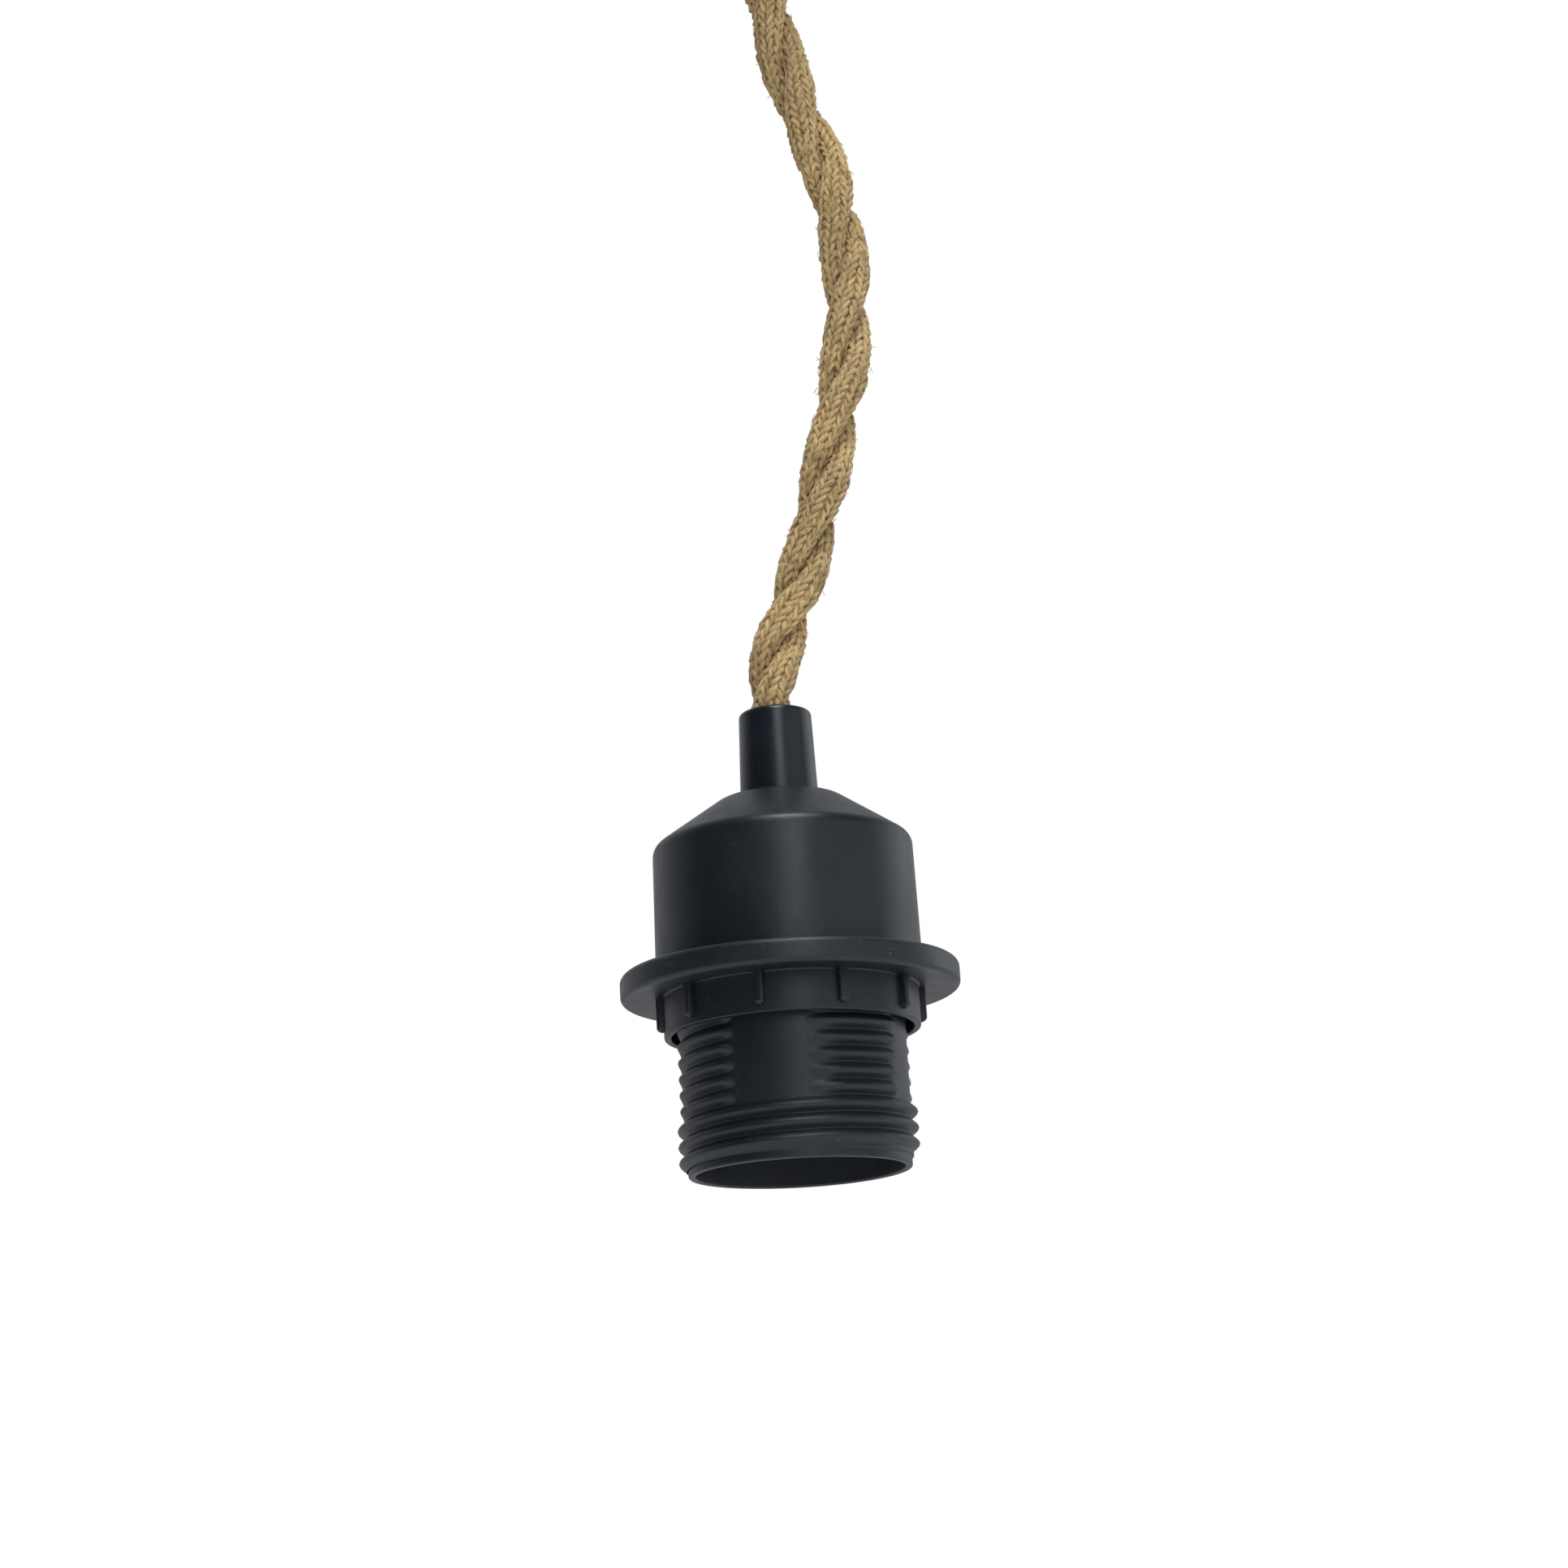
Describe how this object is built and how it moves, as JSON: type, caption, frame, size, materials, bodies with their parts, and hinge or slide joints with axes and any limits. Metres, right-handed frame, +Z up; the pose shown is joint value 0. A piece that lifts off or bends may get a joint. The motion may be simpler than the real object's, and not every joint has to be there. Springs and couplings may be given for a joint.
{
  "type": "pendant cord set",
  "caption": "Hanging lampholder with a threaded skirt and shade ring, on a twisted jute-covered cord with a ceiling rose.",
  "frame": {"origin": "middle of the ceiling rose's upper face, which lies against the ceiling", "axes": "+Z up, out of the rose's upper face; -Y towards the viewer of the picture; everything hangs below the origin"},
  "size_m": [0.09, 0.09, 0.2894],
  "materials": {
    "charcoal_plastic": "satin charcoal moulded plastic",
    "grip_plastic": "semi-gloss charcoal moulded plastic",
    "jute": "natural jute, braided over each strand",
    "brass": "satin",
    "zinc_steel": "zinc-plated",
    "cream_plastic": "matt cream insulating plastic",
    "wire_brown": "smooth insulation",
    "wire_blue": "smooth insulation"
  },
  "bodies": {
    "pendant": {"rose_cup": "charcoal_plastic", "holder_cap": "charcoal_plastic", "holder_skirt": "charcoal_plastic", "rose_grip": "grip_plastic", "rose_grip_screw": "grip_plastic", "holder_grip": "grip_plastic", "holder_grip_screw": "grip_plastic", "cord": "jute", "strip_tube_live": "brass", "strip_tube_neutral": "brass", "centre_contact": "brass", "shell_contact": "brass", "terminal_live": "brass", "terminal_neutral": "brass", "rose_crossbar": "zinc_steel", "rose_grip_nut": "zinc_steel", "holder_grip_nut": "zinc_steel", "cup_screw_left": "zinc_steel", "cup_screw_right": "zinc_steel", "strip_fixing_screw": "zinc_steel", "strip_screw_live_cord": "zinc_steel", "strip_screw_live_mains": "zinc_steel", "strip_screw_neutral_cord": "zinc_steel", "strip_screw_neutral_mains": "zinc_steel", "terminal_screw_live": "zinc_steel", "terminal_screw_neutral": "zinc_steel", "terminal_strip": "cream_plastic", "contact_carrier": "cream_plastic", "rose_wire_live": "wire_brown", "holder_wire_live": "wire_brown", "rose_wire_neutral": "wire_blue", "holder_wire_neutral": "wire_blue"},
    "ring": {"shade_ring": "charcoal_plastic"}
  },
  "joints": [
    {"name": "ring_slide", "type": "slide", "parent": "pendant", "child": "ring", "axis": [0, 0, -1], "range_m": [0, 0.03]}
  ]
}
